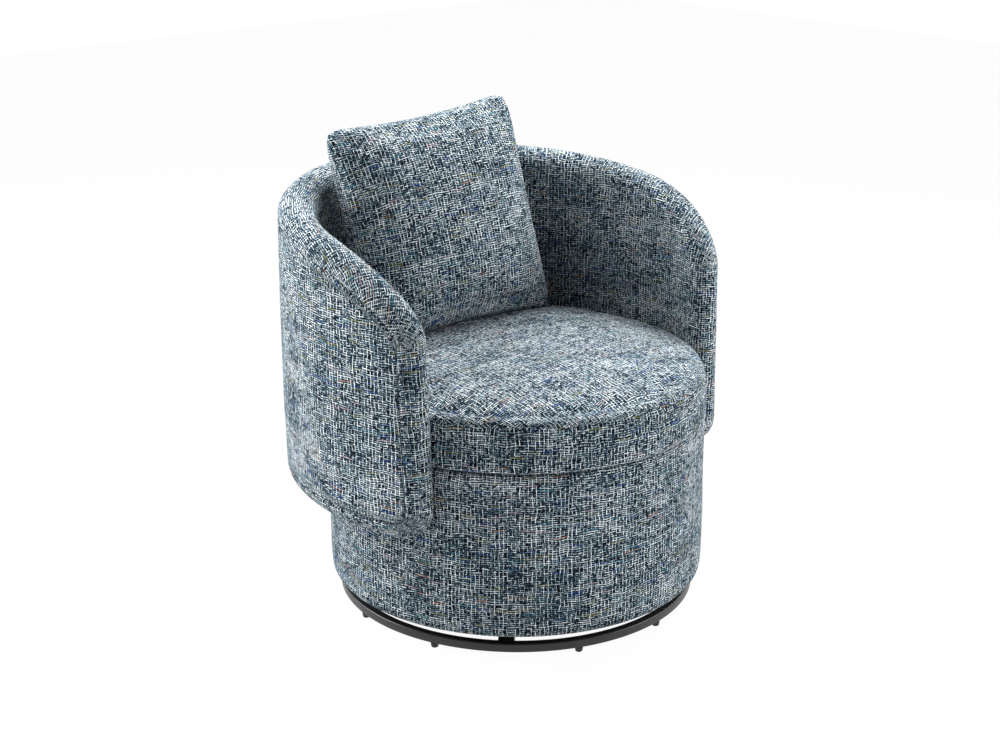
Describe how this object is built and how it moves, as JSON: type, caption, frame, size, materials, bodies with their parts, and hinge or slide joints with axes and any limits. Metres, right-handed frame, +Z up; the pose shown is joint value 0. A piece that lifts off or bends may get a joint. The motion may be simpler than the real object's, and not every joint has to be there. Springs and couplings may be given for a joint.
{
  "type": "swivel armchair",
  "caption": "Barrel swivel armchair: padded wrap-around back and arms on a round drum, loose seat cushion and throw pillow, turning on a low steel ring base.",
  "frame": {"origin": "on the floor, under the centre of the whole chair's bounding box", "axes": "+Z up, -Y towards the front of the seat, +X to the right of someone who faces the chair's front from outside looking along +Y"},
  "size_m": [0.7626, 0.7263, 0.7839],
  "materials": {
    "steel_black": "satin black powder coat",
    "plastic_black": "moulded, matt",
    "steel_zinc": "zinc plated",
    "plywood": "raw plywood",
    "pine": "raw sawn softwood",
    "tweed": "chunky blue-grey tweed weave over foam",
    "felt": "quilted felt",
    "dust_cloth": "thin black non-woven cloth",
    "spring_steel": "drawn wire, oiled"
  },
  "bodies": {
    "base": {"base_ring": "steel_black", "cross_bar_long": "steel_black", "cross_bar_left": "steel_black", "cross_bar_right": "steel_black", "glide_1": "plastic_black", "glide_2": "plastic_black", "glide_3": "plastic_black", "glide_4": "plastic_black", "glide_5": "plastic_black", "glide_6": "plastic_black", "glide_7": "plastic_black", "glide_8": "plastic_black", "swivel_lower_plate": "steel_zinc", "kingpin": "steel_zinc", "base_bolt_1": "steel_zinc", "base_bolt_2": "steel_zinc", "base_bolt_3": "steel_zinc", "base_bolt_4": "steel_zinc"},
    "cage": {"ball_cage": "steel_zinc"},
    "seat": {"swivel_upper_plate": "steel_zinc", "seat_bolt_1": "steel_zinc", "seat_bolt_2": "steel_zinc", "seat_bolt_3": "steel_zinc", "seat_bolt_4": "steel_zinc", "seat_board": "plywood", "drum_post_1": "pine", "drum_post_2": "pine", "drum_post_3": "pine", "drum_post_4": "pine", "drum_post_5": "pine", "drum_post_6": "pine", "deck_ring": "plywood", "drum_wall": "plywood", "drum_cover": "tweed", "dust_cover": "dust_cloth", "seat_spring_1": "spring_steel", "seat_spring_2": "spring_steel", "seat_spring_3": "spring_steel", "seat_spring_4": "spring_steel", "clip_front_1": "steel_zinc", "clip_front_2": "steel_zinc", "clip_front_3": "steel_zinc", "clip_front_4": "steel_zinc", "clip_rear_1": "steel_zinc", "clip_rear_2": "steel_zinc", "clip_rear_3": "steel_zinc", "clip_rear_4": "steel_zinc", "deck_pad": "felt", "arm_back_upholstery": "tweed", "shell_frame": "plywood", "outer_back_panel": "tweed", "rear_spacer": "pine", "shell_bolt_1": "steel_zinc", "shell_bolt_2": "steel_zinc", "shell_bolt_3": "steel_zinc", "shell_bolt_4": "steel_zinc"},
    "cushion": {"seat_cushion": "tweed"},
    "pillow": {"throw_pillow": "tweed"}
  },
  "joints": [
    {"name": "swivel", "type": "hinge", "parent": "base", "child": "seat", "pos_m": [0, -0.03925, 0], "axis": [0, 0, 1], "continuous": true},
    {"name": "cage_roll", "type": "hinge", "parent": "base", "child": "cage", "pos_m": [0, -0.03925, 0], "axis": [0, 0, 1], "continuous": true},
    {"name": "cushion_lift", "type": "slide", "parent": "seat", "child": "cushion", "axis": [0, 0, 1], "range_m": [0, 0.45]},
    {"name": "pillow_lift", "type": "slide", "parent": "cushion", "child": "pillow", "axis": [0, 0, 1], "range_m": [0, 0.45]}
  ],
  "couplings": [
    {"joint": "cage_roll", "follows": "swivel", "ratio": 0.5}
  ]
}
